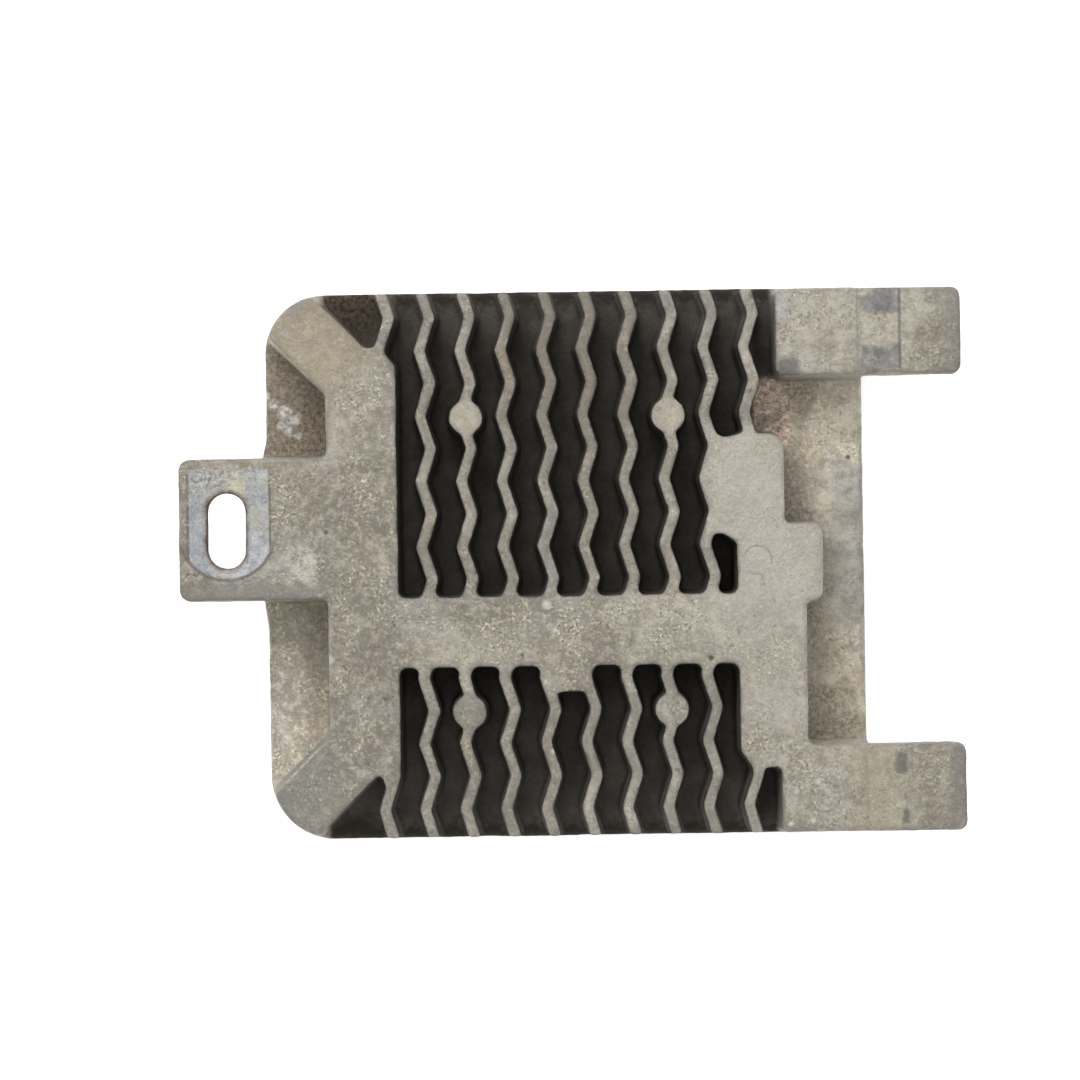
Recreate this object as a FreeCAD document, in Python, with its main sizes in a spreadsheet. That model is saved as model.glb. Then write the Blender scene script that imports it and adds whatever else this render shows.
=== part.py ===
import FreeCAD, Part
import os
from math import acos, tan

# A die-cast finned cooler: one aluminium casting, 140 x 98.6 x 27 mm, modelled member by member.
#
# Frame: millimetres, +Z up out of the fins. The flat back of the plate is Z = 0 and the origin is the
# middle of the outline. +X runs from the slotted lug towards the two tongues, +Y towards the upper bank
# of fins. Every wall is drafted so that it thickens from its top face down to the floor. The members
# meet face to face: each later one is cut by the earlier ones that it grows out of.

os.makedirs("parts", exist_ok=True)
doc = FreeCAD.newDocument("finned_cooler")

# ---------------------------------------------------------------- driving sizes
SIZES = dict(
    # plate and heights
    plate_left=-54.9, plate_right=53.1, plate_half=49.3, plate_thick=5, round_upper=10.6,
    round_lower=11.6, foot_out=0.7,
    total_height=27, draft=1.5,
    # fins: zigzag walls on one pitch, whose bends all lie on the same rows
    fin_first=-33.0, fin_pitch=7.23, fin_tip=2.0, fin_end=48.6, wave_length=11.7, wave_shift=1.9,
    wave_row=44.2, bend_round=1.2, root_round=1.2, pad_radius=3.0, pad_row=26.3,
    # webs
    web_left=-43.55, web_inner=-31.05, spine_top=-5.8, spine_low=-18.15, web_right=29.75, web_outer=41.85,
    # lug and its slot
    lug_end=-70, lug_low=-5.7, lug_top=19.5, lug_thick=8, lug_round=1.8,
    slot_along=-61.55, slot_across=6.7, slot_width=7.0, slot_length=13.6,
    # tongues
    tongue_root=37.05, tongue_end=70, tongue_edge=48.5, tongue_inner=33.1, tongue_thick=8,
    tongue_round=1.6, seat_start=52.0, seat_end=59.4, seat_deep=0.3,
    seat_neck=0.45, neck_deep=1.2,
    # boss
    boss_inner=24.84, boss_top=22.7, boss_side=38.15, step_side=44.85, step_top=6.6, step_low=-7.1,
)
sheet = doc.addObject("Spreadsheet::Sheet", "Sizes")
for row, (name, value) in enumerate(SIZES.items(), start=1):
    sheet.set("A%d" % row, name)
    sheet.set("B%d" % row, str(value))
    sheet.setAlias("B%d" % row, name)
doc.recompute()


def size(name):
    return float(sheet.get(name))


# ---------------------------------------------------------------- helpers
def vector(x, y):
    return FreeCAD.Vector(x, y, 0)


def outline(points):
    """Lines and arcs through the corners (x, y, radius); a corner (x, y, "via") is a point on an arc."""
    count = len(points)
    ends = []
    for i, (x, y, radius) in enumerate(points):
        here = vector(x, y)
        if radius == "via" or not radius:
            ends.append((here, here, None))
            continue
        back = (vector(*points[i - 1][:2]) - here).normalize()
        ahead = (vector(*points[(i + 1) % count][:2]) - here).normalize()
        half = acos(max(-1.0, min(1.0, back.dot(ahead)))) / 2
        reach = radius / tan(half)
        middle = here + (back + ahead).normalize() * ((reach ** 2 + radius ** 2) ** 0.5 - radius)
        ends.append((here + back * reach, here + ahead * reach, middle))
    shapes = []
    for i, (enter, leave, middle) in enumerate(ends):
        if points[i][2] == "via":
            continue
        if middle is not None:
            shapes.append(Part.Arc(enter, middle, leave))
        after = (i + 1) % count
        if points[after][2] == "via":
            beyond = (i + 2) % count
            shapes.append(Part.Arc(leave, ends[after][0], ends[beyond][0]))
        else:
            shapes.append(Part.LineSegment(leave, ends[after][0]))
    return shapes


def plane(body, role):
    return [f for f in body.Origin.OriginFeatures if f.Role == role][0]


def sketch_on_top(body, name, points, level):
    """A closed sketch of the body, level mm above the back of the plate (level is an expression)."""
    sketch = body.newObject("Sketcher::SketchObject", name)
    sketch.AttachmentSupport = (plane(body, "XY_Plane"), [""])
    sketch.MapMode = "FlatFace"
    sketch.setExpression("AttachmentOffset.Base.z", level)
    sketch.addGeometry(outline(points), False)
    return sketch


def drafted_body(name, points):
    """A wall whose top outline is known: padded down to the floor, spreading by the draft angle."""
    body = doc.addObject("PartDesign::Body", name)
    sketch = sketch_on_top(body, name + "_outline", points, "Sizes.total_height")
    pad = body.newObject("PartDesign::Pad", name + "_pad")
    pad.Profile = sketch
    pad.Reversed = True
    pad.setExpression("Length", "Sizes.total_height - Sizes.plate_thick")
    pad.setExpression("TaperAngle", "Sizes.draft")
    sketch.Visibility = False
    return body


def box(name, x, y, z):
    """A region box between x = (low, high) and so on, each limit a number or an expression."""
    shape = doc.addObject("Part::Box", name)
    for axis, side, (low, high) in zip("xyz", ("Length", "Width", "Height"), (x, y, z)):
        shape.setExpression("Placement.Base." + axis, str(low))
        shape.setExpression(side, "(%s) - (%s)" % (high, low))
    return shape


def boolean(kind, name, base, tool):
    shape = doc.addObject("Part::" + kind, name)
    shape.Base, shape.Tool = base, tool
    return shape


def cut(name, base, *tools):
    for i, tool in enumerate(tools, start=1):
        last = i == len(tools)
        base = boolean("Cut", name if last else "%s_cut_%d" % (name, i), base, tool)
    return base


NODES = {}


def node(name, shape):
    shape.Label = name
    NODES[name] = shape
    return shape


FLOOR, TOP = "Sizes.plate_thick", "Sizes.total_height"
WALLS = (FLOOR, TOP)

# ---------------------------------------------------------------- plate
plate = doc.addObject("PartDesign::Body", "plate_body")
left, right, half = size("plate_left"), size("plate_right"), size("plate_half")
plate_sketch = plate.newObject("Sketcher::SketchObject", "plate_outline")
plate_sketch.AttachmentSupport = (plane(plate, "XY_Plane"), [""])
plate_sketch.MapMode = "FlatFace"
upper_r, lower_r = size("round_upper"), size("round_lower")
foot = left - size("foot_out")      # the plate swells a little where the lug's wall stands on its edge
plate_sketch.addGeometry(outline([
    (left, -half, lower_r), (right, -half, 1.0), (right, half, 1.0), (left, half, upper_r),
    (left, 23.0, 4.0), (foot, 20.5, 2.0), (foot, -6.8, 2.0), (left, -10.8, 4.0)]), False)
plate_pad = plate.newObject("PartDesign::Pad", "plate_pad")
plate_pad.Profile = plate_sketch
plate_pad.setExpression("Length", "Sizes.plate_thick")
node("base_plate", plate)

# ---------------------------------------------------------------- webs, arms, lug, boss and lower tongue
inner, outer = size("web_inner"), size("web_left")
spine_top, spine_low = size("spine_top"), size("spine_low")
web_right, web_outer = size("web_right"), size("web_outer")
root, tongue_end = size("tongue_root"), size("tongue_end")
edge, tongue_in, tongue_r = size("tongue_edge"), size("tongue_inner"), size("tongue_round")
lug_end, lug_low, lug_top, lug_r = (size(n) for n in ("lug_end", "lug_low", "lug_top", "lug_round"))
boss_in, boss_top, boss_side = size("boss_inner"), size("boss_top"), size("boss_side")
step_side, step_top, step_low = size("step_side"), size("step_top"), size("step_low")



def arm_end(corner_r, edge_near, edge_far):
    """End of a 45 degree arm on a rounded corner of the plate, 1.1 mm inside it, for the lower corner.

    The arm lies between the lines y = x + edge_near and y = x + edge_far; the three points are its
    corners and the middle of the arc between them."""
    centre_x, centre_y, rim = left + corner_r, -half + corner_r, corner_r - 1.1
    corners = []
    for offset in (edge_near, edge_far):
        rise = offset + centre_x - centre_y
        across = (-rise - (2 * rim ** 2 - rise ** 2) ** 0.5) / 2
        corners.append((centre_x + across, centre_y + across + rise, 0))
    slant = rim * 0.5 ** 0.5
    return [corners[0], (centre_x - slant, centre_y - slant, "via"), corners[1]]


lower_arm_end = arm_end(lower_r, 13.25, -2.15)
upper_arm_end = [(x, -y, kind) for x, y, kind in arm_end(upper_r, 12.55, -2.45)][::-1]

mass = drafted_body("web_mass", [
    (lug_end, lug_low, lug_r), (outer, lug_low, 1.0),
    (outer, outer + 13.25, 1.5),
    # lower corner arm, and the foot of the first lower fin
    *lower_arm_end,
    (-35.3, -37.45, 1.0), (-34.35, -37.45, 0.6), (-33.75, -39.4, 0), (-32.6, -39.4, 0), (inner, -37.45, 0),
    (inner, spine_low, 1.2), (web_right, spine_low, 1.5),
    # foot of the right web, round the last lower fin, and the lower tongue
    (web_right, -33.9, 1.0), (31.9, -36.9, 0.6), (root, -36.9, 1.0), (root, -edge, 0.8),
    (tongue_end, -edge, tongue_r), (tongue_end, -tongue_in, tongue_r), (web_outer, -tongue_in, 1.0),
    # boss with its step
    (web_outer, step_low - 0.3, 0.8), (step_side, step_low + 0.1, 1.8), (step_side, step_top, 1.5),
    (boss_side, step_top, 0.8), (boss_side, boss_top, 2.5), (33.3, boss_top, 0), (31.6, 23.5, 0),
    (30.5, 22.75, 1.2), (27.5, 22.1, 1.2), (boss_in, 23.4, 0), (boss_in, 5.1, 0), (27.2, 5.1, 1.0),
    (29.65, 3.4, 0.8), (29.65, spine_top, 1.2), (inner, spine_top, 1.2),
    # shoulder of the left web and the upper corner arm
    (inner, 35.8, 0.8), (-32.9, 37.9, 0), (-33.6, 39.1, 0), (-36.6, 39.1, 1.0),
    *upper_arm_end,
    (outer, 31.05, 1.5), (outer, lug_top, 1.0), (lug_end, lug_top, lug_r),
])

def region(name, base, x, y):
    """The member of a drafted mass that lies between x and y limits, over the full height of the walls."""
    return boolean("Common", name, base, box(name + "_region", x, y, WALLS))


# Undersides: past the plate the lug and the tongues are only as thick as their own flanges.
under_lug = box("under_lug", ("Sizes.lug_end - 5", "Sizes.plate_left - Sizes.foot_out"), (-30, 40),
                ("Sizes.plate_thick - 1", "Sizes.total_height - Sizes.lug_thick"))
under_tongues = box("under_tongues", ("Sizes.plate_right", "Sizes.tongue_end + 5"), (-60, 60),
                    ("Sizes.plate_thick - 1", "Sizes.total_height - Sizes.tongue_thick"))

left_web = node("left_web", region("left_web_solid", mass, (-44.8, -30.3), (-52, 52)))
cross_web = node("cross_web", region("cross_web_solid", mass, (-30.3, 29.0), (-25, -5.0)))
right_web = node("right_web", region("right_web_solid", mass, (29.0, 50), (-32.0, -8.2)))
node("upper_corner_arm", region("upper_arm_solid", mass, (-60, -44.8), (25, 52)))
node("lower_corner_arm", region("lower_arm_solid", mass, (-60, -44.8), (-52, -25)))

# Slotted lug: an obround hole through the flange, its length across the part.
slot = doc.addObject("PartDesign::Body", "slot_cutter")
half_width, half_length = size("slot_width") / 2, size("slot_length") / 2
slot_sketch = sketch_on_top(slot, "slot_outline", [
    (-half_width, -half_length, half_width - 0.01), (half_width, -half_length, half_width - 0.01),
    (half_width, half_length, half_width - 0.01), (-half_width, half_length, half_width - 0.01)],
    "Sizes.total_height + 1")
slot_pad = slot.newObject("PartDesign::Pad", "slot_pad")
slot_pad.Profile = slot_sketch
slot_pad.Reversed = True
slot_pad.setExpression("Length", "Sizes.lug_thick + 2")
slot.setExpression("Placement.Base.x", "Sizes.slot_along")
slot.setExpression("Placement.Base.y", "Sizes.slot_across")
lug_blank = region("lug_blank", mass, (-75, -44.8), (-12, 25))
node("slotted_lug", cut("slotted_lug_solid", lug_blank, under_lug, slot))

# Tongues, each with a shallow machined seat just past the plate's edge, necked on its inner side.
seat = box("tongue_seats", ("Sizes.seat_start", "Sizes.seat_end"), (-60, 60),
           ("Sizes.total_height - Sizes.seat_deep", "Sizes.total_height + 1"))
lower_neck = box("lower_neck", ("Sizes.seat_start", "Sizes.seat_end"),
                 ("-Sizes.tongue_inner - Sizes.seat_neck", "-Sizes.tongue_inner + 3"),
                 ("Sizes.total_height - Sizes.neck_deep", "Sizes.total_height + 1"))
upper_neck = box("upper_neck", ("Sizes.seat_start", "Sizes.seat_end"),
                 ("Sizes.tongue_inner - 3", "Sizes.tongue_inner + Sizes.seat_neck"),
                 ("Sizes.total_height - Sizes.neck_deep", "Sizes.total_height + 1"))
lower_blank = region("lower_tongue_blank", mass, (29.0, 75), (-52, -32.0))
lower_tongue = node("lower_tongue", cut("lower_tongue_solid", lower_blank, under_tongues, seat,
                                        lower_neck))
upper_blank = drafted_body("upper_tongue_blank", [
    (root, tongue_in, tongue_r), (tongue_end, tongue_in, tongue_r),
    (tongue_end, edge, tongue_r), (root, edge, tongue_r)])
node("upper_tongue", cut("upper_tongue_solid", upper_blank, under_tongues, seat, upper_neck))

# ---------------------------------------------------------------- fins
PITCH, TIP, WAVE, SHIFT = (size(n) for n in ("fin_pitch", "fin_tip", "wave_length", "wave_shift"))
ROW, BEND, FLARE = size("wave_row"), size("bend_round"), size("root_round")
FIN_END = size("fin_end")


def fin_outline(far, web, flared):
    """Outline of one zigzag fin about X = 0, from its free end at y = far to its foot in a web at y = web."""
    low, high = min(far, web), max(far, web)
    rows = [(ROW - n * WAVE / 2, SHIFT / 2 if n % 2 == 0 else -SHIFT / 2) for n in range(-2, 18)]

    def middle(y):
        for (y1, x1), (y2, x2) in zip(rows, rows[1:]):
            if y2 <= y <= y1:
                return x2 + (x1 - x2) * (y - y2) / (y1 - y2)

    bends = [(x, y) for y, x in rows if low + 1.5 < y < high - 1.5]
    inward = 1 if far > web else -1
    flank_up = [(x + TIP / 2, y, BEND) for x, y in sorted(bends, key=lambda b: inward * b[1])]
    flank_down = [(x - TIP / 2, y, BEND) for x, y in sorted(bends, key=lambda b: -inward * b[1])]
    foot, end = middle(web), middle(far)
    if flared:
        spread, deep = FLARE + 0.35, web - inward * 3
        start = [(foot + spread + TIP / 2 - 0.2, deep, 0), (foot + spread + TIP / 2, web, 0),
                 (foot + TIP / 2, web, FLARE)]
        finish = [(foot - TIP / 2, web, FLARE), (foot - spread - TIP / 2, web, 0),
                  (foot - spread - TIP / 2 + 0.2, deep, 0)]
    else:
        start, finish = [(foot + TIP / 2, web, 0)], [(foot - TIP / 2, web, 0)]
    return start + flank_up + [(end + TIP / 2, far, 0), (end - TIP / 2, far, 0)] + flank_down + finish


upper_bank = box("upper_bank", (-60, 60), (-8, "Sizes.fin_end"), WALLS)
lower_bank = box("lower_bank", (-60, 60), ("-Sizes.fin_end", -15), WALLS)


def fin(bank, number, web, flared, tools):
    """Zigzag fin number 1 to 10 of a bank, cut to the faces of the members that it grows out of."""
    name = "%s_fin_%02d" % (bank, number)
    far = FIN_END + 1 if bank == "upper" else -FIN_END - 1
    blank = drafted_body(name + "_blank", fin_outline(far, web, flared))
    place = "Sizes.fin_first + %d * Sizes.fin_pitch" % (number - 1)
    blank.setExpression("Placement.Base.x", place)
    if number in (3, 8):
        # round landing for an ejector pin, flush with the fin's edge
        boss = doc.addObject("Part::Cone", name + "_landing")
        boss.setExpression("Radius1", "Sizes.pad_radius + (%s - %s) * tan(Sizes.draft)" % (TOP, FLOOR))
        boss.setExpression("Radius2", "Sizes.pad_radius")
        boss.setExpression("Height", "%s - %s" % (TOP, FLOOR))
        boss.setExpression("Placement.Base.x", place)
        boss.setExpression("Placement.Base.y", "Sizes.pad_row" if bank == "upper" else "-Sizes.pad_row")
        boss.setExpression("Placement.Base.z", FLOOR)
        blank = boolean("Fuse", name + "_with_landing", blank, boss)
    trimmed = boolean("Common", name + "_trimmed", blank, upper_bank if bank == "upper" else lower_bank)
    return node(name, cut(name + "_solid", trimmed, *tools))


upper, lower = {}, {}
for n in range(1, 11):
    if n == 10:
        continue
    if n == 1:
        upper[n] = fin("upper", n, 36.5, False, [left_web])
        lower[n] = fin("lower", n, -35.5, False, [left_web])
    else:
        upper[n] = fin("upper", n, spine_top, True, [cross_web])
        lower[n] = fin("lower", n, spine_low, True, [cross_web])

# The boss fills the space from the ninth upper fin to the right, so that fin runs past it unbroken.
boss_blank = region("boss_blank", mass, (22, 50), (-8.2, 30))
boss = node("boss", cut("boss_solid", boss_blank, cross_web, upper[9]))
upper[10] = fin("upper", 10, 20.5, False, [boss])
lower[10] = fin("lower", 10, -34.5, False, [lower_tongue])

# Gusset between the two middle fins of the lower bank.
gusset_blank = drafted_body("gusset_blank", [(-4.2, -15.5, 0), (-4.2, -22.8, 0), (3.0, -22.8, 0),
                                             (3.0, -15.5, 0)])
node("web_gusset", cut("web_gusset_solid", gusset_blank, cross_web, lower[5], lower[6]))

# ---------------------------------------------------------------- check and write
doc.recompute()
for shape in doc.Objects:
    bad = [s for s in shape.State if s in ("Invalid", "Error")]
    if bad:
        raise RuntimeError("%s: %s" % (shape.Name, bad))
for name, shape in sorted(NODES.items()):
    solid = shape.Shape
    if solid.isNull() or not solid.isValid() or len(solid.Solids) != 1:
        raise RuntimeError("%s: null, invalid or %d solids" % (name, len(solid.Solids)))
    solid.exportStep("parts/%s.step" % name)
    limits = solid.BoundBox
    print("%-18s %8.1f mm3  x %7.2f %7.2f  y %7.2f %7.2f  z %5.2f %5.2f  faces %d" % (
        name, solid.Volume, limits.XMin, limits.XMax, limits.YMin, limits.YMax, limits.ZMin, limits.ZMax,
        len(solid.Faces)))
print(len(NODES), "nodes")
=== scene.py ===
"""Looks of the die-cast finned cooler: one casting skin, cut into a closed piece for each member."""
import math

import bmesh
import bpy
import numpy as np
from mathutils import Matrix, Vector


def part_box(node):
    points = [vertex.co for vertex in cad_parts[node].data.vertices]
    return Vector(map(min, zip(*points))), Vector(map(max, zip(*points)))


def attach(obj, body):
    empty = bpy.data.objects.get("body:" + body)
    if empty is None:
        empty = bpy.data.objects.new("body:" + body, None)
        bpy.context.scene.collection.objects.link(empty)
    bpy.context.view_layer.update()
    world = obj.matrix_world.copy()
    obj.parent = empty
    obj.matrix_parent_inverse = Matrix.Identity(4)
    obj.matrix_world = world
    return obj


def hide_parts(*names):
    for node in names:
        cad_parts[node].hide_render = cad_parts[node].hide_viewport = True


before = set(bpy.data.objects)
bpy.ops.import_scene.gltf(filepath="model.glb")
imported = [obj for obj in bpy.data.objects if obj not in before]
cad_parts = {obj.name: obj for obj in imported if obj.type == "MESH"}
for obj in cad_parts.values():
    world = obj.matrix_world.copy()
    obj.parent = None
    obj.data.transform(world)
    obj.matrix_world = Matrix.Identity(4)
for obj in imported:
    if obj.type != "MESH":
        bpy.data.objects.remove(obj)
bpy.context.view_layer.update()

MM = 0.001
MARKS = ("worn", "rim", "sky")      # the skin's attributes: sharp edges, the rims about them, open sky

# ------------------------------------------------------------------ one skin over all the CAD members
VOXEL = 0.4 * MM
KEEP = 0.42                # share of the skin's triangles left after decimation
SOFTEN = 3                 # smoothing passes, which round every edge and root as a casting's are
SHARP = 6.0                # how quickly a convex point counts as an edge
RIM_ROUNDS = 5             # how far the rims reach from their edges, in rounds of averaging
# (height, lump size, seed) in mm of the waves on every wall, and of those on edges only
WAVES = [(0.075, 9, 1), (0.050, 2.6, 2), (0.028, 1.1, 3)]
NICKS = [(0.19, 1.7, 4), (0.18, 0.85, 5)]
EDGE_LOSS = 0.07           # mm rubbed off the edges all along
BACK = 1.5                 # mm of height over which the machined back stays flat
TOP_LEVEL = 26             # mm: only faces above this have pits
# x, y, radius and depth in mm of the blow holes that show on the top faces
PITS = [
    (-43.75, 6.2, 0.7, 0.45), (-37.25, -35.6, 0.9, 0.5), (24.75, -17.2, 0.8, 0.5), (-36.2, 25.7, 0.6, 0.3),
    (-23.7, -12.0, 0.6, 0.3), (12.0, -9.0, 0.6, 0.25), (37.4, 11.0, 0.6, 0.3), (31.0, -26.0, 0.6, 0.3),
]


def joined_nodes():
    """One mesh of all the CAD nodes, in the row frame."""
    bm = bmesh.new()
    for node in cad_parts.values():
        copy = node.data.copy()
        copy.transform(node.matrix_world)
        bm.from_mesh(copy)
        bpy.data.meshes.remove(copy)
    mesh = bpy.data.meshes.new("casting_skin")
    bm.to_mesh(mesh)
    bm.free()
    return mesh


def with_modifiers(mesh, *settings):
    """The mesh after a stack of modifiers, each given as (type, {attribute: value})."""
    holder = bpy.data.objects.new("casting_holder", mesh)
    bpy.context.scene.collection.objects.link(holder)
    for kind, values in settings:
        modifier = holder.modifiers.new(kind.lower(), kind)
        for key, value in values.items():
            setattr(modifier, key, value)
    graph = bpy.context.evaluated_depsgraph_get()
    result = bpy.data.meshes.new_from_object(holder.evaluated_get(graph))
    bpy.data.objects.remove(holder)
    return result


def read(collection, key, width, kind=np.float32):
    """One property of all a mesh's points, edges or faces, as an array of rows width long."""
    values = np.empty(len(collection) * width, dtype=kind)
    collection.foreach_get(key, values)
    return values.reshape(-1, width) if width > 1 else values


def lattice_noise(points, cell, seed):
    """Smooth value noise, -1 to 1, on a grid of random numbers cell metres apart."""
    low = points.min(axis=0) - cell
    grid = (points - low) / cell
    whole = np.floor(grid).astype(int)
    part = grid - whole
    part = part * part * (3 - 2 * part)
    shape = whole.max(axis=0) + 2
    values = np.random.RandomState(seed).uniform(-1, 1, size=tuple(shape))
    total = np.zeros(len(points))
    for corner in range(8):
        step = np.array([(corner >> axis) & 1 for axis in range(3)])
        weight = np.prod(np.where(step == 1, part, 1 - part), axis=1)
        at = whole + step
        total += weight * values[at[:, 0], at[:, 1], at[:, 2]]
    return total


def convexity(mesh, points, normals):
    """How far each point stands out of its neighbours, in voxels: positive on edges, negative in roots."""
    edges = read(mesh.edges, "vertices", 2, np.int32)
    around = np.zeros_like(points, dtype=np.float64)
    count = np.zeros(len(points))
    for here, there in ((0, 1), (1, 0)):
        for axis in range(3):
            around[:, axis] += np.bincount(edges[:, here], points[edges[:, there], axis], len(points))
        count += np.bincount(edges[:, here], minlength=len(points))
    lean = around / count[:, None] - points
    return -(lean * normals).sum(axis=1) / VOXEL


def open_sky(points, normals):
    """The share of a cloudy sky that reaches each point between the walls: 1 on top, near 0 deep in a gap."""
    turns, steps = 12, 22
    cell, margin = 1.25 * VOXEL, steps + 2
    low = points[:, :2].min(axis=0)
    size = tuple(((points[:, :2].max(axis=0) - low) / cell).astype(int) + 1 + 2 * margin)
    spot = ((points[:, :2] - low) / cell).astype(int) + margin
    height = np.zeros(size)
    np.maximum.at(height, (spot[:, 0], spot[:, 1]), points[:, 2])
    start = (points[:, :2] + normals[:, :2] * 1.5 * cell - low) / cell + margin
    reached = np.zeros(len(points))
    for turn in range(turns):
        ahead = np.array([math.cos(2 * math.pi * turn / turns), math.sin(2 * math.pi * turn / turns)])
        slope = np.zeros(len(points))
        for step in range(1, steps):
            at = (start + ahead * step).astype(int)
            rise = height[at[:, 0], at[:, 1]] - points[:, 2]
            slope = np.maximum(slope, rise / (step * cell))
        reached += 1 / (1 + slope ** 2)
    return reached / turns


def spread(mesh, values, rounds):
    """A value per point, averaged with its neighbours over and over."""
    edges = read(mesh.edges, "vertices", 2, np.int32)
    both = np.vstack([edges, edges[:, ::-1]])
    count = np.bincount(both[:, 0], minlength=len(values))
    for _ in range(rounds):
        values = np.bincount(both[:, 0], values[both[:, 1]], len(values)) / count
    return values


def age_casting(mesh):
    """Moves the skin as casting and handling left it: wavy walls, ragged edges, a few pits."""
    points = read(mesh.vertices, "co", 3).astype(np.float64)
    normals = read(mesh.vertices, "normal", 3).astype(np.float64)
    edge = np.clip(convexity(mesh, points, normals) * SHARP, 0, 1)
    for name, values in zip(MARKS, (edge, spread(mesh, edge, RIM_ROUNDS), open_sky(points, normals))):
        mesh.attributes.new(name, "FLOAT", "POINT").data.foreach_set("value", values.astype(np.float32))
    push = sum(high * lattice_noise(points, size * MM, seed) for high, size, seed in WAVES)
    nicks = sum(high * lattice_noise(points, size * MM, seed) for high, size, seed in NICKS)
    push += edge * (nicks - EDGE_LOSS)
    for x, y, radius, deep in PITS:
        away = np.hypot(points[:, 0] - x * MM, points[:, 1] - y * MM) / (radius * MM)
        push -= deep * np.clip(1 - away ** 2, 0, 1) * (points[:, 2] > TOP_LEVEL * MM)
    free = np.clip((points[:, 2] - BACK * MM) / MM, 0, 1)
    points += normals * (push * free * MM)[:, None]
    mesh.vertices.foreach_set("co", points.astype(np.float32).ravel())
    mesh.update()


skin = with_modifiers(joined_nodes(), ("REMESH", dict(mode="VOXEL", voxel_size=VOXEL)),
                      ("SMOOTH", dict(factor=0.5, iterations=SOFTEN)))
age_casting(skin)
skin = with_modifiers(skin, ("DECIMATE", dict(decimate_type="COLLAPSE", ratio=KEEP)))

# ------------------------------------------------------------------ cutting the skin into members
# Each cut is a plane (axis, place) between two limits on the other level axis, all in mm.
CUTS = [
    ("z", 5.35, -80, 80),      # walls from plate
    ("x", -45.4, -60, 60),     # lug and corner arms from the left web
    ("x", -29.5, -21, -3),     # cross web from the left web
    ("x", 28.0, -21, -3),      # cross web from the right web
    ("y", -4.4, 28.3, 50),     # boss from the right web
    ("y", -31.5, 27.9, 50),    # lower tongue from the right web
    ("y", -4.4, -29.4, 27.5),  # upper fins 2 to 9 from the cross web
    ("y", -20.0, -29.4, -8),   # lower fins 2 to 4
    ("y", -24.6, -8, 7),       # lower fins 5 and 6, below the gusset
    ("y", -20.0, 7, 27.5),     # lower fins 7 to 9
    ("y", 41.6, -36, -29.8),   # upper fin 1
    ("y", -41.4, -37, -29.8),  # lower fin 1
    ("y", 25.2, 21.9, 36),     # upper fins 9 and 10 from the boss
    ("y", 2.6, 21.9, 27.5),    # upper fin 9 again, below the boss
    ("y", -38.6, 29, 35.3),    # lower fin 10 from the lower tongue
]


TOUCH = 1e-6        # metres: a corner this near a plane counts as on it


def cut_and_cap(bm, axis, place, low, high):
    """Splits the mesh on a plane, where the other level axis is from low to high mm, and closes both sides."""
    cap, wall = bm.faces.layers.int["cap"], bm.faces.layers.int["wall"]
    normal = Vector([float(axis == name) for name in "xyz"])
    point = normal * place * MM
    across = 1 if axis == "x" else 0

    def crossed(face):
        """Whether a wall face meets the plane between low and high."""
        if not face[wall]:
            return False
        corners = [((vert.co - point).dot(normal), vert.co[across]) for vert in face.verts]
        heights = [height for height, _ in corners]
        if min(heights) > TOUCH or max(heights) < -TOUCH:
            return False
        near = min(corners, key=lambda corner: abs(corner[0]))[1]
        for (one, a), (two, b) in zip(corners, corners[1:] + corners[:1]):
            if one * two < 0:
                near = a + (b - a) * one / (one - two)
        return low * MM < near < high * MM

    faces = [face for face in bm.faces if crossed(face)]
    around = {part for face in faces for part in (*face.verts, *face.edges)}
    cut = bmesh.ops.bisect_plane(bm, geom=list(around) + faces, dist=1e-7, plane_co=point, plane_no=normal)
    edges = [part for part in cut["geom_cut"] if isinstance(part, bmesh.types.BMEdge)]
    bmesh.ops.split_edges(bm, edges=edges)
    sides = {True: [], False: []}
    for edge in bm.edges:
        if edge.is_boundary:
            sides[(edge.link_faces[0].calc_center_median() - point).dot(normal) > 0].append(edge)
    for above, rim in sides.items():
        filled = bmesh.ops.triangle_fill(bm, edges=rim, use_beauty=False, normal=normal)
        for part in filled["geom"]:
            if isinstance(part, bmesh.types.BMFace):
                part[cap] = 1
                part.normal_update()
                part[wall] = 1
                if (part.normal.dot(normal) > 0) == above:
                    part.normal_flip()
    if axis == "z":
        for face in bm.faces:
            face[wall] = int(face.calc_center_median().z > point.z or (face[cap] and face.normal.z < 0))


def members(mesh):
    """The skin as loose closed shells: points, normals, triangles, cap flags, shell numbers and marks."""
    bm = bmesh.new()
    bm.from_mesh(mesh)
    stored = bm.verts.layers.float_vector.new("skin_normal")
    bm.faces.layers.int.new("cap")
    wall = bm.faces.layers.int.new("wall")
    for face in bm.faces:
        face[wall] = 1
    for vert in bm.verts:
        vert[stored] = vert.normal
    for cut in CUTS:
        cut_and_cap(bm, *cut)
    bmesh.ops.triangulate(bm, faces=bm.faces[:])
    cap = bm.faces.layers.int["cap"]
    layers = {name: bm.verts.layers.float[name] for name in MARKS}
    bm.verts.index_update()
    points = np.array([vert.co for vert in bm.verts])
    normals = np.array([vert[stored] for vert in bm.verts])
    marks = {name: np.array([vert[layer] for vert in bm.verts], dtype=np.float32)
             for name, layer in layers.items()}
    triangles = np.array([[vert.index for vert in face.verts] for face in bm.faces])
    caps = np.array([face[cap] for face in bm.faces], dtype=bool)
    bm.free()
    return points, normals, triangles, caps, shells_of(triangles, len(points)), marks


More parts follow.
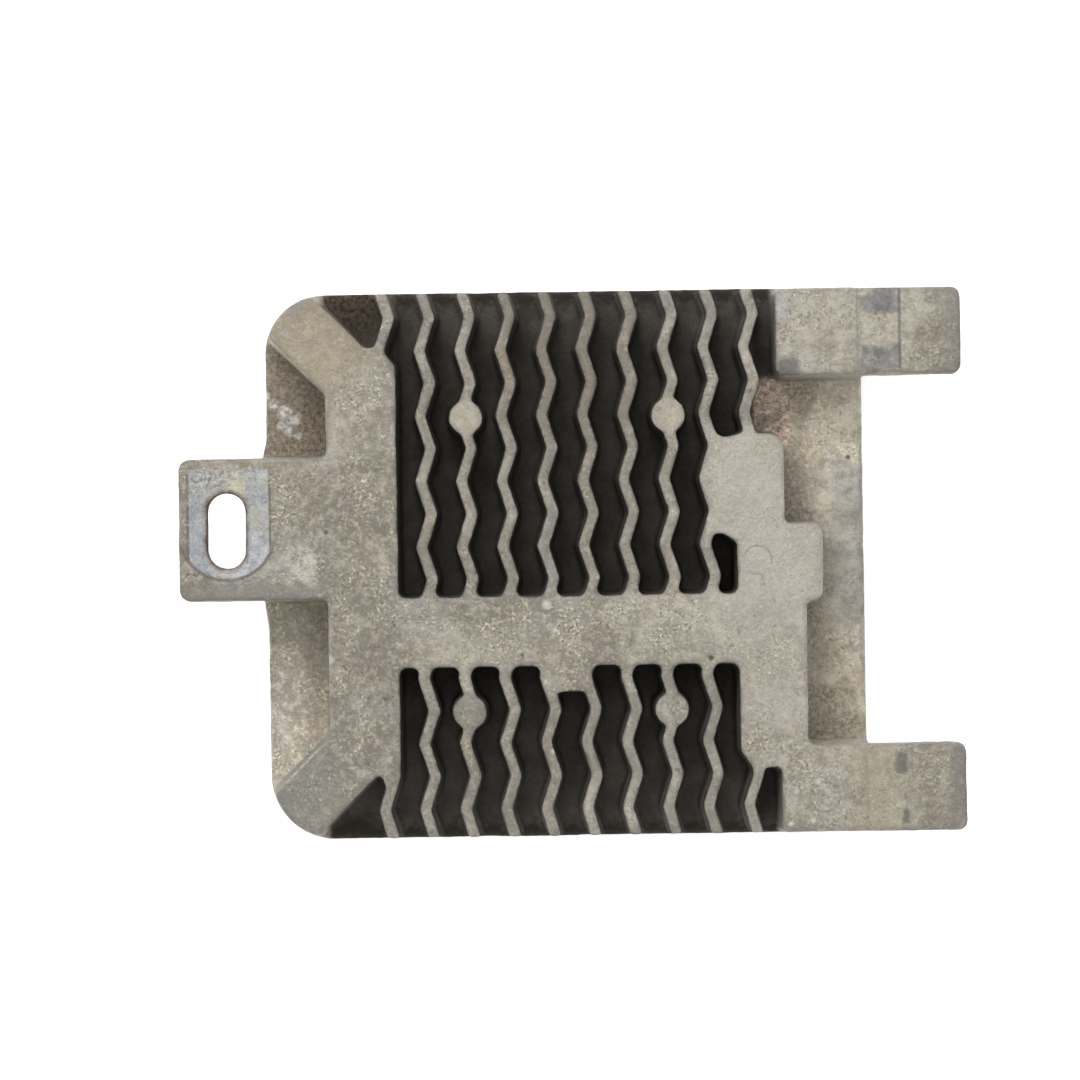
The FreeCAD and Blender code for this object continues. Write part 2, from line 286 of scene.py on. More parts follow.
def shells_of(triangles, count):
    """A number for each point, the same all over a loose shell."""
    label = np.arange(count)
    ends = np.vstack([triangles[:, [0, 1]], triangles[:, [1, 2]]])
    while True:
        least = np.minimum(label[ends[:, 0]], label[ends[:, 1]])
        new = label.copy()
        np.minimum.at(new, ends[:, 0], least)
        np.minimum.at(new, ends[:, 1], least)
        new = new[new]
        if (new == label).all():
            return label
        label = new


points, normals, triangles, caps, shell, marks = members(skin)


def shell_at(x, y, z=27.0):
    """The shell whose surface passes nearest a point given in mm."""
    away = ((points - np.array([x, y, z]) * MM) ** 2).sum(axis=1)
    return shell[away.argmin()]


def middle(node):
    """The middle of a CAD node's box on the level plane, in mm."""
    low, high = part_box(node)
    return (low[0] + high[0]) / 2 / MM, (low[1] + high[1]) / 2 / MM


# piece: (record slot, the CAD nodes it stands for, points in mm that find its shells)
PIECES = {"base_plate": ("plate", ["base_plate"], [(0, 0, 0)])}
for slot, names in (("webs", ("left_web", "right_web", "boss")), ("lug", ("slotted_lug",)),
                    ("webs", ("upper_corner_arm", "lower_corner_arm")),
                    ("tongues", ("upper_tongue", "lower_tongue")), ("webs", ("cross_web",))):
    for name in names:
        PIECES[name] = (slot, [name], [middle(name)])
PIECES["cross_web"][1].append("web_gusset")
for bank, outer_end in (("upper", 46), ("lower", -46)):
    for number in range(1, 11):
        name = "%s_fin_%02d" % (bank, number)
        PIECES[name] = ("fins", [name], [(middle(name)[0], outer_end)])
PIECES["upper_fin_09"][2].append((25.2, -1.5))      # its other part, past the boss


def build_piece(name, seeds):
    """A closed mesh object of the shells at the seeds, shaded with the whole skin's normals."""
    wanted = np.isin(shell[triangles[:, 0]], [shell_at(*seed) for seed in seeds])
    faces, flat = triangles[wanted], caps[wanted]
    used, faces = np.unique(faces, return_inverse=True)
    faces = faces.reshape(-1, 3)
    mesh = bpy.data.meshes.new(name)
    mesh.from_pydata(points[used].tolist(), [], faces.tolist())
    mesh.polygons.foreach_set("use_smooth", [True] * len(faces))
    across = normals[used][faces]
    across[flat] = read(mesh.polygons, "normal", 3)[flat][:, None, :]
    mesh.normals_split_custom_set(across.reshape(-1, 3).tolist())
    for mark, values in marks.items():
        mesh.attributes.new(mark, "FLOAT", "POINT").data.foreach_set("value", values[used])
    piece = bpy.data.objects.new(name + "_casting", mesh)
    bpy.context.scene.collection.objects.link(piece)
    return piece


pieces = {}
for name, (slot, stands_for, seeds) in PIECES.items():
    pieces[name] = build_piece(name, seeds)
    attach(pieces[name], "root")
    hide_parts(*stands_for)

# ------------------------------------------------------------------ camera, lights, floor
scene = bpy.context.scene
scene.view_settings.view_transform = "Standard"
DISTANCE, WIDTH = 1.4, 0.19286      # metres from the fin tips, and of view across them
TIPS = 27 * MM                      # height of the fin tips
AIM = (-5.58 * MM, 4.30 * MM)       # the middle of the view
TURN = -0.85                        # degrees that the view is turned
SENSOR = 36
camera_data = bpy.data.cameras.new("camera")
camera_data.sensor_width = SENSOR
camera_data.lens = SENSOR * DISTANCE / WIDTH
camera = bpy.data.objects.new("camera", camera_data)
camera.location = (*AIM, TIPS + DISTANCE)
camera.rotation_euler = (0, 0, math.radians(TURN))
scene.collection.objects.link(camera)
scene.camera = camera

bpy.ops.mesh.primitive_plane_add(size=3, location=(0, 0, -0.0002))
floor = bpy.context.object
floor.name = "studio_floor"
paper = bpy.data.materials.new("paper")
paper.use_nodes = True
for name, value in (("Base Color", (0.9, 0.9, 0.9, 1)), ("Roughness", 0.9),
                    ("Emission Color", (1, 1, 1, 1)), ("Emission Strength", 0.5)):
    paper.node_tree.nodes["Principled BSDF"].inputs[name].default_value = value
floor.data.materials.append(paper)

world = bpy.data.worlds.new("studio")
scene.world = world
world.use_nodes = True
world.node_tree.nodes["Background"].inputs["Color"].default_value = (1, 1, 1, 1)
world.node_tree.nodes["Background"].inputs["Strength"].default_value = 0.55


def area(name, place, size, power):
    """A square lamp of size metres at place, facing the origin."""
    data = bpy.data.lights.new(name, "AREA")
    data.size = size
    data.energy = power
    lamp = bpy.data.objects.new(name, data)
    lamp.location = place
    lamp.rotation_euler = Vector(place).to_track_quat("Z", "Y").to_euler()
    scene.collection.objects.link(lamp)


area("key", (-0.30, 0.80, 1.15), 0.6, 12)
area("overhead", (-0.05, 0.10, 1.75), 1.3, 13)

# ------------------------------------------------------------------ the aged casting's material
EXPOSED = 1.45      # light on a level face, by which a colour given as seen becomes a surface colour


def seen(red, green, blue):
    """Surface colour of a level face that looks this way under the studio light, given in 0 to 255."""
    def straight(value):
        value /= 255
        return value / 12.92 if value <= 0.04045 else ((value + 0.055) / 1.055) ** 2.4
    return tuple(straight(value) / EXPOSED for value in (red, green, blue)) + (1.0,)


class Paint:
    """The nodes of one material under short names. Lengths are in mm of the row's frame."""

    def __init__(self, name):
        self.material = bpy.data.materials.new(name)
        self.material.use_nodes = True
        self.nodes = self.material.node_tree.nodes
        self.links = self.material.node_tree.links
        self.surface = self.nodes["Principled BSDF"]
        self.place = self.vector("SCALE", self.node("ShaderNodeTexCoord").outputs["Object"], scale=1000.0)
        split = self.node("ShaderNodeSeparateXYZ")
        self.links.new(self.place, split.inputs[0])
        self.x, self.y, self.z = split.outputs
        self.worn, self.rim, self.sky = (
            self.node("ShaderNodeAttribute", attribute_name=mark).outputs["Fac"] for mark in MARKS)
        self.top = self.ramp(self.z, 26.0, 26.3)
        self.patch, self.small = self.noise(8, 2, 4, 0.6), self.noise(2.2, 3, 4, 0.6)
        self.grain, self.fine = self.noise(0.37, 4, 3, 0.65), self.noise(0.28, 5, 2, 0.6)
        self.wander = self.math("MULTIPLY_ADD", self.noise(1.6, 7, 3, 0.6), 2.4, -1.2)
        self.colour = None

    def node(self, kind, **settings):
        made = self.nodes.new(kind)
        for name, value in settings.items():
            setattr(made, name, value)
        return made

    def plug(self, socket, value):
        if isinstance(value, bpy.types.NodeSocket):
            self.links.new(value, socket)
        else:
            socket.default_value = value

    def vector(self, operation, a, b=None, scale=None):
        made = self.node("ShaderNodeVectorMath", operation=operation)
        self.plug(made.inputs[0], a)
        if b is not None:
            self.plug(made.inputs[1], b)
        if scale is not None:
            self.plug(made.inputs["Scale"], scale)
        return made.outputs["Value" if operation == "DISTANCE" else "Vector"]

    def math(self, operation, a, b=0.0, c=0.0):
        made = self.node("ShaderNodeMath", operation=operation)
        for socket, value in zip(made.inputs, (a, b, c)):
            self.plug(socket, value)
        return made.outputs[0]

    def times(self, *values):
        total = values[0]
        for value in values[1:]:
            total = self.math("MULTIPLY", total, value)
        return total

    def most(self, *values):
        total = values[0]
        for value in values[1:]:
            total = self.math("MAXIMUM", total, value)
        return total

    def loose(self, reach):
        """An uneven offset in mm, up to about reach each way."""
        return self.times(self.wander, reach)

    def ramp(self, value, low, high, start=0.0, end=1.0):
        made = self.node("ShaderNodeMapRange", interpolation_type="SMOOTHSTEP")
        names = ("Value", "From Min", "From Max", "To Min", "To Max")
        for name, given in zip(names, (value, low, high, start, end)):
            self.plug(made.inputs[name], given)
        return made.outputs[0]

    def noise(self, size, seed, detail=2.0, rough=0.5):
        """Cloudy noise from 0 to 1, with lumps about size mm across."""
        made = self.node("ShaderNodeTexNoise", noise_dimensions="3D")
        moved = self.vector("ADD", self.place, (seed * 37.1, seed * 17.7, seed * 7.3))
        self.plug(made.inputs["Vector"], moved)
        made.inputs["Scale"].default_value = 0.6 / size
        made.inputs["Detail"].default_value = detail
        made.inputs["Roughness"].default_value = rough
        return made.outputs["Fac"]

    def cells(self, size, seed):
        """Distance from the nearest of scattered points about size mm apart, in units of that spacing."""
        made = self.node("ShaderNodeTexVoronoi", feature="F1")
        self.plug(made.inputs["Vector"], self.vector("ADD", self.place, (seed * 31.3, seed * 11.9, seed * 5.7)))
        made.inputs["Scale"].default_value = 1.0 / size
        made.inputs["Randomness"].default_value = 1.0
        return made.outputs["Distance"]

    def mix(self, share, a, b, blend="MIX"):
        made = self.node("ShaderNodeMix", data_type="RGBA", blend_type=blend)
        self.plug(made.inputs["Factor"], share)
        self.plug(made.inputs[6], a)
        self.plug(made.inputs[7], b)
        return made.outputs[2]

    def lay(self, shade, *shares):
        """Lays a shade over the colour so far, as much as the product of the shares."""
        self.colour = self.mix(self.times(*shares), self.colour, shade)

    def lift(self, factors, share):
        """Multiplies the colour so far."""
        self.colour = self.mix(share, self.colour, factors, "MULTIPLY")

    def level(self, value, low, high, soft):
        """1 between two levels, fading over soft mm."""
        up = self.ramp(value, low - soft, low + soft)
        down = self.ramp(value, high - soft, high + soft, 1.0, 0.0)
        return self.times(up, down)

    def box(self, x0, x1, y0, y1, soft=0.6, shift=None):
        """1 inside a level rectangle. shift is a wandering offset in mm that makes its border uneven."""
        x, y = self.x, self.y
        if shift is not None:
            x, y = self.math("ADD", x, shift), self.math("ADD", y, shift)
        return self.times(self.level(x, x0, x1, soft), self.level(y, y0, y1, soft))

    def disc(self, x, y, radius, soft=0.5, shift=None):
        """1 inside a level circle."""
        flat = self.vector("MULTIPLY", self.place, (1.0, 1.0, 0.0))
        away = self.vector("DISTANCE", flat, (x, y, 0.0))
        if shift is not None:
            away = self.math("ADD", away, shift)
        return self.ramp(away, radius - soft, radius + soft, 1.0, 0.0)

    def ring(self, x, y, inner, outer, soft):
        """1 between two level circles about one centre."""
        return self.math("SUBTRACT", self.disc(x, y, outer, soft), self.disc(x, y, inner, soft))

    def crumbs(self, x, y, radius, soft, shift, size, seed, low, high):
        """A level circle broken up into crumbs about size mm across."""
        crumbly = self.ramp(self.noise(size, seed, 4, 0.7), low, high)
        return self.times(self.disc(x, y, radius, soft, shift), crumbly)


def chalky_oxide(p):
    """Warm grey oxide, darker to the left, with bluish grey and brown clouds."""
    across = p.math("SUBTRACT", p.math("MULTIPLY_ADD", p.x, 0.008, 0.04), p.ramp(p.x, 58.0, 66.0, 0.0, 0.9))
    tone = p.math("ADD", across, p.ramp(p.noise(16, 1, 3), 0.3, 0.7))
    p.colour = p.mix(p.ramp(tone, 0.05, 0.95), seen(146, 139, 126), seen(192, 186, 171))
    p.lay(seen(164, 163, 159), p.ramp(p.patch, 0.52, 0.66, 0.0, 0.6))
    p.lay(seen(174, 159, 134), p.ramp(p.noise(7, 8, 3, 0.6), 0.54, 0.68, 0.0, 0.55))
    p.lay(seen(152, 148, 128), p.ramp(p.noise(5, 31, 3, 0.6), 0.56, 0.68, 0.0, 0.5))
    p.lay(seen(176, 160, 150), p.ramp(p.noise(4.5, 32, 3, 0.6), 0.58, 0.70, 0.0, 0.45))
    p.lay(seen(126, 119, 106), p.ramp(p.small, 0.33, 0.55, 0.38, 0.0))
    p.lay(seen(204, 199, 186), p.ramp(p.small, 0.52, 0.68, 0.0, 0.30))
    mottle = p.noise(0.95, 46, 3, 0.6)
    p.lay(seen(112, 104, 92), p.ramp(mottle, 0.36, 0.50, 0.30, 0.0))
    p.lay(seen(214, 207, 190), p.ramp(mottle, 0.52, 0.64, 0.0, 0.34))


def oxide_crust(p):
    """Clusters of pale oxide grains with dark specks between them. Returns where the grains are."""
    sparse = p.ramp(p.noise(13, 30, 2), 0.30, 0.62, 0.42, 1.0)
    cluster = p.times(p.ramp(p.noise(3.4, 6, 5, 0.68), 0.47, 0.60), sparse)
    crusty = p.math("MULTIPLY_ADD", cluster, 0.72, 0.26)
    p.lay(seen(196, 189, 170), cluster, 0.26)
    crust = p.times(p.ramp(p.grain, 0.50, 0.62), crusty)
    p.lay(seen(226, 218, 198), crust)
    p.lay(seen(104, 96, 83), p.ramp(p.noise(0.34, 33, 3, 0.65), 0.52, 0.63), crusty, 0.72)
    speck = p.ramp(p.noise(0.9, 9, 2, 0.5), 0.66, 0.72)
    p.lay(seen(98, 90, 76), speck, p.ramp(p.noise(9, 10, 2), 0.4, 0.6), 0.75)
    fleck = p.ramp(p.cells(4.2, 1), 0.035, 0.075, 0.7, 0.0)
    p.lay(seen(84, 76, 64), fleck, p.ramp(p.patch, 0.42, 0.58))
    return crust


def worn_edges_and_highlights(p):
    """Grey rounded rims, light lines along the sharp edges that are partly rubbed metal and partly painted
    highlight, and sooty places.
    """
    p.lay(seen(140, 136, 128), p.ramp(p.rim, 0.06, 0.42), p.ramp(p.noise(3.2, 34, 3, 0.6), 0.32, 0.60), 0.6)
    # painted highlight with some rub: lighter lines along the sharp edges
    p.lay(seen(205, 202, 193), p.ramp(p.worn, 0.15, 0.75), p.ramp(p.noise(2.5, 11, 3, 0.6), 0.40, 0.60), 0.35)
    p.lay(seen(120, 112, 98), p.ramp(p.worn, 0.15, 0.7), p.ramp(p.noise(4, 12, 3, 0.6), 0.56, 0.70), 0.45)


def lug_marks(p):
    """The washer's bluish print about the slot, the slot's rusty rim, a chalky patch, and painted shade on the
    lug's lower side. Returns the print.
    """
    centre, left, right, far = (-61.5, 6.6), -68.45, -53.95, 17.7
    pressed = p.most(p.box(left, right, centre[1], far, 0.3, p.loose(0.35)), p.disc(*centre, 8.5, 0.25))
    imprint = p.times(pressed, p.level(p.x, left, right, 0.2), p.top)
    bare = p.mix(p.ramp(p.noise(1.6, 20, 5, 0.75), 0.34, 0.62), seen(166, 169, 179), seen(206, 207, 206))
    bare = p.mix(p.ramp(p.x, -64.5, -66.5, 0.0, 0.5), bare, seen(166, 169, 178))
    bare = p.mix(p.ramp(p.noise(3.6, 35, 3, 0.6), 0.52, 0.66, 0.0, 0.6), bare, seen(192, 191, 180))
    bare = p.mix(p.times(p.ramp(p.noise(0.8, 36, 3, 0.65), 0.58, 0.68), 0.6), bare, seen(124, 124, 126))
    bare = p.mix(p.times(p.ramp(p.grain, 0.54, 0.64), 0.45), bare, seen(224, 223, 216))
    worn_top = p.mix(p.ramp(p.noise(1.1, 41, 4, 0.7), 0.36, 0.62), seen(138, 132, 120), seen(206, 203, 194))
    bare = p.mix(p.times(p.box(-65.4, -57.9, 11.6, 18.5, 1.0, p.wander), 0.7), bare, worn_top)
    bare = p.mix(p.times(p.disc(-56.4, 9.3, 1.5, 1.2, p.wander), 0.6), bare, seen(200, 200, 182))
    crumbled = p.times(p.ramp(p.y, 11.5, 14.5), p.ramp(p.x, -54.5, -57.5),
                       p.ramp(p.noise(1.8, 37, 4, 0.7), 0.40, 0.52))
    crumb = p.mix(p.ramp(p.noise(0.5, 39, 5, 0.8), 0.36, 0.62), seen(130, 126, 120), seen(224, 221, 214))
    bare = p.mix(p.times(crumbled, 0.8), bare, crumb)
    p.lay(bare, imprint, p.ramp(p.noise(3, 21, 4, 0.65), 0.30, 0.46, 0.35, 1.0))
    p.lay(seen(218, 212, 180), p.disc(-59.5, 15.4, 1.7, 1.2, p.loose(1.2)), imprint, 0.7)

    # dark lines pressed along the print's border
    left_line = p.times(p.level(p.x, left - 0.25, left + 0.25, 0.12), p.level(p.y, 1.0, 17.0, 1.0))
    arc = p.times(p.ring(*centre, 8.4, 9.0, 0.2), p.ramp(p.y, 6, 2))
    right_line = p.times(p.level(p.x, right, right + 0.4, 0.12), p.level(p.y, 3.0, 18.0, 1.5))
    p.lay(seen(98, 94, 88), p.most(left_line, arc, right_line), p.top, p.ramp(p.small, 0.35, 0.5), 0.7)

    slot_ends = p.most(p.disc(centre[0], 3.2, 4.1, 0.2), p.disc(centre[0], 10.2, 4.1, 0.2))
    around_slot = p.most(p.box(-65.9, -57.3, 2.0, 11.5, 0.25), slot_ends)
    rust = p.mix(p.ramp(p.noise(1.5, 38, 2), 0.4, 0.6), seen(96, 78, 60), seen(150, 112, 84))
    p.lay(rust, around_slot, p.ramp(p.z, 27.3, 26.5), p.ramp(p.small, 0.25, 0.45), 0.85)
    p.lay(seen(214, 208, 194), p.crumbs(-47.3, 0.3, 4.2, 2.5, p.loose(1.5), 1.3, 42, 0.40, 0.58), 0.75)
    # painted shade: darker grey on the lug's lower side (towards -y), below its top face
    p.lay(seen(138, 134, 128), p.ramp(p.y, -2.0, -4.0), p.ramp(p.z, 25.0, 26.0), 0.6)
    return imprint


def tongue_marks(p):
    """Dark steel-grey seats with painted shade lines at their steps, smears and stains."""
    steel = p.mix(p.ramp(p.noise(2.2, 22, 4, 0.7), 0.4, 0.6), seen(122, 120, 120), seen(146, 143, 142))
    bent = p.loose(1.3)
    seat = p.times(p.most(p.box(50, 62, 44.0, 48.4, 0.4, bent), p.box(50, 62, 34.0, 38.4, 0.5, bent)),
                   p.ramp(p.math("ADD", p.x, p.loose(0.5)), 51.8, 52.6), p.ramp(p.x, 59.5, 59.3))
    p.lay(steel, seat, p.top, p.ramp(p.noise(2.0, 23, 4, 0.65), 0.34, 0.50, 0.1, 0.95))
    # painted shade: dark lines where the seats step, at x 51.5 and 59.4 on the upper tongue
    edges = p.most(p.times(p.level(p.x, 58.9, 59.45, 0.12), 0.9), p.times(p.level(p.x, 51.45, 51.8, 0.15), 0.5))
    edges = p.times(edges, p.ramp(p.y, 33.5, 34.5), p.top, p.ramp(p.small, 0.30, 0.50))
    p.lay(seen(108, 104, 98), edges, 0.7)
    smear = p.most(p.box(37.4, 39.2, 43.2, 47.6, 0.6, p.loose(1.3)), p.disc(43.0, 36.0, 0.8, 0.6, p.wander))
    p.lay(seen(196, 197, 199), smear, p.top, 0.6)
    dirt = p.most(p.box(37.3, 41.2, 33.0, 36.2, 0.8, p.wander),
                  p.box(57.3, 59.4, -38.2, -34.6, 0.5, p.loose(0.7)),
                  p.box(58.4, 59.6, -47.2, -44.8, 0.4, p.loose(0.5)),
                  p.times(p.box(49.3, 51.7, -44.2, -40.8, 0.5, p.wander), p.ramp(p.grain, 0.42, 0.52)))
    p.lay(seen(98, 95, 92), dirt, p.top, 0.75)
    p.lay(seen(186, 174, 150), p.box(49.5, 57.5, -50, -33, 1.5, p.wander), 0.45, p.top)
    p.lay(seen(134, 131, 126), p.ramp(p.x, 65.5, 68.5), p.top, p.ramp(p.small, 0.3, 0.5), 0.5)
    p.lay(seen(120, 114, 104), p.ring(44.7, -42.3, 2.5, 2.9, 0.2), p.top, 0.35)
    chips = p.most(p.disc(43.5, -39.5, 0.45, 0.3, p.loose(0.3)), p.disc(42.5, -46.5, 0.4, 0.3, p.loose(0.3)),
                   p.disc(38.5, -47.0, 0.5, 0.3, p.loose(0.4)))
    p.lay(seen(226, 222, 210), chips, p.top, 0.8)


def fin_marks(p):
    """Ejector landings of three tones, a browner middle, white chips."""
    p.lay(seen(208, 199, 180), p.most(p.disc(-18.5, 26.3, 3.2, 0.5), p.disc(17.6, 26.3, 3.2, 0.5)), 0.42)
    p.lay(seen(130, 127, 117), p.disc(-18.5, -26.3, 3.2, 0.5), 0.45)
    p.lay(seen(128, 119, 104), p.level(p.x, -13.0, 16.0, 4.0), p.ramp(p.y, 14.0, 30.0),
          p.ramp(p.small, 0.25, 0.6), 0.6)
    chips = p.most(p.disc(-13.4, 38.2, 0.5, 0.3, p.loose(0.5)), p.disc(-3.7, -33.4, 0.4, 0.3, p.loose(0.4)),
                   p.disc(-23.7, 30.7, 0.6, 0.4, p.loose(0.5)), p.disc(10.5, 38.2, 0.4, 0.3, p.loose(0.4)))
    p.lay(seen(226, 220, 200), chips, 0.85)


def web_marks(p):
    """A lighter boss, ejector rings, chips and pits, and the corner arms' own tones and light lines along their
    edges, painted highlight with some rub.
    """
    boss_share = p.ramp(p.y, -14.0, -4.0, 0.35, 0.55)
    p.lay(seen(200, 195, 182), p.box(24, 46, -30, 24, 4.0, p.wander), p.top, boss_share)
    rings = p.most(p.ring(33.2, 0.2, 2.35, 2.7, 0.15), p.ring(-4.8, -7.3, 0.9, 1.6, 0.3))
    p.lay(seen(122, 115, 104), rings, p.top, p.ramp(p.small, 0.4, 0.55), 0.5)
    chips = p.most(p.disc(-43.6, -16.5, 0.7, 0.4, p.loose(0.5)), p.disc(-4.6, -7.2, 0.7, 0.5, p.loose(0.6)))
    p.lay(seen(224, 220, 208), chips, p.top, 0.7)
    pits = p.most(p.disc(-45.3, -13.6, 0.4, 0.2), p.disc(24.7, -17.2, 0.45, 0.2), p.disc(-43.75, 6.2, 0.3, 0.2))
    p.lay(seen(72, 62, 50), pits, 0.8)
    p.lay(seen(140, 140, 137), p.disc(-51, -40, 9, 4, p.wander), 0.5)
    p.lay(seen(178, 163, 138), p.disc(-47, 41, 11, 4, p.wander), 0.5)
    falling, rising = p.math("ADD", p.x, p.y), p.math("SUBTRACT", p.y, p.x)
    # painted highlight with some rub: light lines just below the top along the corner arms' diagonal edges
    rub_and_highlight = p.most(p.times(p.level(falling, -13.2, -12.5, 0.2), p.ramp(p.y, 31.0, 33.0)),
                  p.times(p.level(rising, 12.9, 13.6, 0.2), p.ramp(p.y, -31.0, -33.0)))
    p.lay(seen(218, 210, 190), rub_and_highlight, p.ramp(p.noise(0.8, 43, 3, 0.65), 0.42, 0.56),
          p.ramp(p.z, 24.5, 26.0), 0.8)
    p.lay(seen(214, 211, 204), p.crumbs(-54.2, 39.6, 1.9, 0.9, p.wander, 1.2, 40, 0.42, 0.56), 0.8)
    p.lay(seen(216, 211, 200), p.crumbs(-48.9, 33.0, 1.8, 1.2, p.wander, 1.2, 44, 0.40, 0.54), 0.8)
    p.lay(seen(150, 148, 146), p.disc(-47.5, 47.5, 3.4, 1.5, p.wander), p.ramp(rising, 92.0, 95.5),
          p.ramp(p.z, 23.0, 26.0), 0.7)


def painted_light_and_recess_dirt(p):
    """Painted light that lifts everything low down, then brown grit on the recess floors and low on their
    walls. Returns the grit and how thickly it lies.
    """
    low = p.times(p.ramp(p.z, 12.0, 6.0), p.ramp(p.z, 0.8, 2.6))
    settled = p.ramp(p.math("MULTIPLY_ADD", p.small, 0.45, p.sky), 0.98, 0.62)
    grit = p.ramp(p.noise(0.5, 13, 5, 0.85), 0.34, 0.66)
    brown = p.box(-60, -42, 16, 42, 2.0)
    soil = p.mix(grit, seen(128, 115, 99), seen(232, 219, 198))
    soil = p.mix(brown, soil, p.mix(grit, seen(88, 74, 60), seen(206, 188, 166)))
    swept = p.times(p.box(-60, -42, -42, -4, 2.0, p.wander), 0.8)
    settled = p.times(settled, p.math("SUBTRACT", 1.0, swept))
    settled = p.most(settled, p.times(brown, 0.8))
    # painted light: the floors and low walls are made lighter against their shade
    p.lift((1.34, 1.33, 1.31, 1), low)
    p.lay(soil, settled, low, 0.75)
    return grit, p.times(settled, low)


def plate_marks(p, grit):
    """Painted light on two recess floors, rust painted lighter against its shade, bluish patches, white streaks
    and pit, and the clean back.
    """
    unmarked = p.colour
    # painted light: two recess floors made lighter against their shade
    p.lift((1.27, 1.27, 1.28, 1), p.box(40, 62, 16, 34, 3.0, p.wander))
    p.lift((1.28, 1.31, 1.35, 1), p.box(-54.5, -48.0, -38, -8, 2.0, p.wander))
    # rust, painted lighter against the shade near the wall
    rusty = p.mix(grit, seen(176, 148, 126), (1.3, 1.05, 0.85, 1))
    p.lay(rusty, p.box(32.5, 40.5, 20.5, 34.0, 2.0, p.loose(1.5)), p.ramp(p.small, 0.3, 0.6), 0.65)
    bluish = p.mix(p.ramp(p.small, 0.35, 0.65), seen(132, 132, 130), seen(178, 177, 173))
    p.lay(bluish, p.ramp(p.math("MULTIPLY_ADD", p.wander, 1.2, p.x), 45.5, 49.0),
          p.level(p.y, -11.0, 16.0, 4.0), 0.6)
    blobs = [(-54.8, 31.2, 0.7, 0.5), (-53.4, 29.5, 0.9, 0.6), (-51.7, 28.3, 1.1, 0.6), (-50.2, 27.3, 1.3, 0.6),
             (-52.2, 25.5, 0.7, 0.5), (-50.8, 24.6, 0.9, 0.6), (-49.3, 24.0, 0.7, 0.5)]
    loose = p.loose(1.1)
    streaks = p.most(*(p.disc(x, y, radius, soft, loose) for x, y, radius, soft in blobs))
    p.lay((0.74, 0.73, 0.70, 1), streaks, p.ramp(p.noise(1.0, 24, 5, 0.8), 0.36, 0.60), 0.95)
    p.lay(seen(210, 204, 190), p.disc(45.0, 16.3, 1.6, 0.8, p.wander), p.ramp(p.small, 0.4, 0.55), 0.7)
    p.lay(seen(72, 62, 50), p.disc(50.5, 18.5, 0.4, 0.2), 0.8)
    p.colour = p.mix(p.ramp(p.z, 1.5, 4.0), unmarked, p.colour)
    p.lay(seen(166, 165, 160), p.ramp(p.z, 0.5, 0.15), 0.6)


# Level rectangles that black grime and painted shade fill: x from and to, y from and to, softness, in mm
GRIME_SHADE_BOXES = [(-31.6, 33.4, -60, 60, 0.5), (-44.4, -31, 35, 60, 0.6), (-44.4, -31, -60, -35, 0.6),
         (33, 36.9, 33, 60, 0.8), (33, 36.9, -60, -37, 0.6), (22.0, 29.6, -6, 22, 0.4)]


def gap_grime_and_shade(p):
    """Black grime and painted shade between the fins and in the corner pockets: darkest where the gaps open to
    the sky, browner where it is open at the upper left, lighter in the lower gaps. Returns where it is.
    """
    field = p.most(*(p.box(*limits) for limits in GRIME_SHADE_BOXES))
    below = p.ramp(p.math("MULTIPLY_ADD", p.noise(1.4, 14, 3, 0.6), 1.6, p.z), 27.6, 26.2)
    black = p.mix(p.ramp(p.noise(3.5, 15, 4, 0.65), 0.35, 0.7),
                  (0.068, 0.060, 0.050, 1), (0.112, 0.099, 0.083, 1))
    dirt = p.mix(p.ramp(p.noise(0.5, 45, 4, 0.7), 0.38, 0.62),
                 (0.024, 0.016, 0.010, 1), (0.096, 0.066, 0.043, 1))
    outer = p.mix(p.times(p.ramp(p.x, -26.0, -33.0), p.ramp(p.y, 0.0, 10.0)),
                  (0.026, 0.021, 0.015, 1), dirt)
    # painted shade: darkest where the gaps open to the sky, brown at the upper left
    black = p.mix(p.ramp(p.sky, 0.24, 0.46), black, outer)
    black = p.mix(p.ramp(p.y, -20.0, -27.0), black, (1.45, 1.47, 1.50, 1), "MULTIPLY")
    pocket = p.times(p.ramp(p.x, -33.0, -34.0), p.ramp(p.y, 0.0, 10.0), p.ramp(p.sky, 0.08, 0.32))
    black = p.mix(pocket, black, dirt)
    dusty = p.times(p.ramp(p.noise(0.9, 16, 4, 0.7), 0.56, 0.70), 0.35)
    black = p.mix(dusty, black, (0.13, 0.105, 0.078, 1))
    grime_shade_share = p.times(field, below, p.ramp(p.z, 3.2, 4.9))
    p.lay(black, grime_shade_share)
    return grime_shade_share


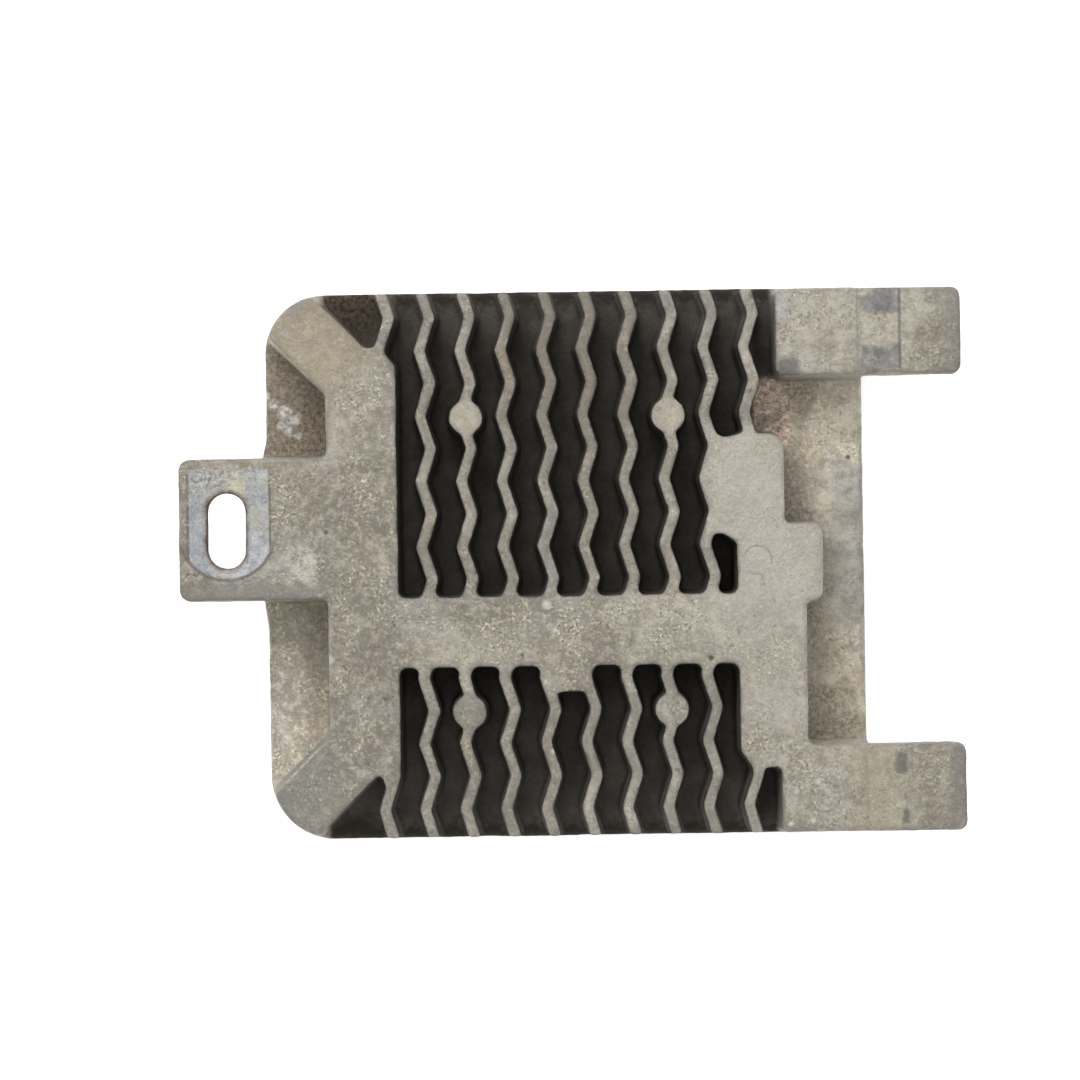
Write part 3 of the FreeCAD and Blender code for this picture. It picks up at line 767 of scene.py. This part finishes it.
DULL = 0.92         # roughness of grime, painted shade and soil
RELIEF = 0.18       # mm of height in the grain's relief


def surface(p, metal, grime_shade_share, soiled, crust, grit):
    """Plugs in the colour with its fine grain, the bare metal, the roughness and the relief."""
    darker, lighter = (0.86, 0.86, 0.86, 1), (1.13, 1.13, 1.13, 1)
    p.lift(p.mix(p.ramp(p.fine, 0.25, 0.75), darker, lighter), 0.8)
    p.plug(p.surface.inputs["Base Color"], p.colour)
    clean = p.math("SUBTRACT", 1.0, p.most(grime_shade_share, soiled))
    p.plug(p.surface.inputs["Metallic"], p.times(metal, clean))
    polish = p.times(clean, p.ramp(p.patch, 0.3, 0.7, 0.18, 0.34))
    p.plug(p.surface.inputs["Roughness"], p.math("SUBTRACT", DULL, polish))
    height = p.math("MULTIPLY_ADD", p.fine, 0.35, p.times(p.grain, 0.7))
    height = p.math("MULTIPLY_ADD", crust, 0.5, height)
    height = p.math("MULTIPLY_ADD", p.times(grit, p.most(soiled, 0.15)), 1.4, height)
    relief = p.node("ShaderNodeBump")
    relief.inputs["Strength"].default_value = 0.75
    relief.inputs["Distance"].default_value = RELIEF * MM
    p.plug(relief.inputs["Height"], height)
    p.plug(p.surface.inputs["Normal"], relief.outputs[0])


def aged_casting(slot):
    """Weathered die-cast aluminium, with the marks of one slot's members."""
    p = Paint("aged_casting_" + slot)
    metal = p.math("MULTIPLY_ADD", p.patch, 0.5, 0.05)
    chalky_oxide(p)
    crust = oxide_crust(p)
    worn_edges_and_highlights(p)
    if slot == "lug":
        metal = p.math("MULTIPLY_ADD", lug_marks(p), 0.3, metal)
    elif slot == "tongues":
        tongue_marks(p)
    elif slot == "fins":
        fin_marks(p)
    elif slot == "webs":
        web_marks(p)
    grit, soiled = painted_light_and_recess_dirt(p)
    if slot == "plate":
        plate_marks(p, grit)
    surface(p, metal, gap_grime_and_shade(p), soiled, crust, grit)
    return p.material


coats = {slot: aged_casting(slot) for slot in ("plate", "webs", "fins", "lug", "tongues")}
for name, (slot, _, _) in PIECES.items():
    pieces[name].data.materials.append(coats[slot])
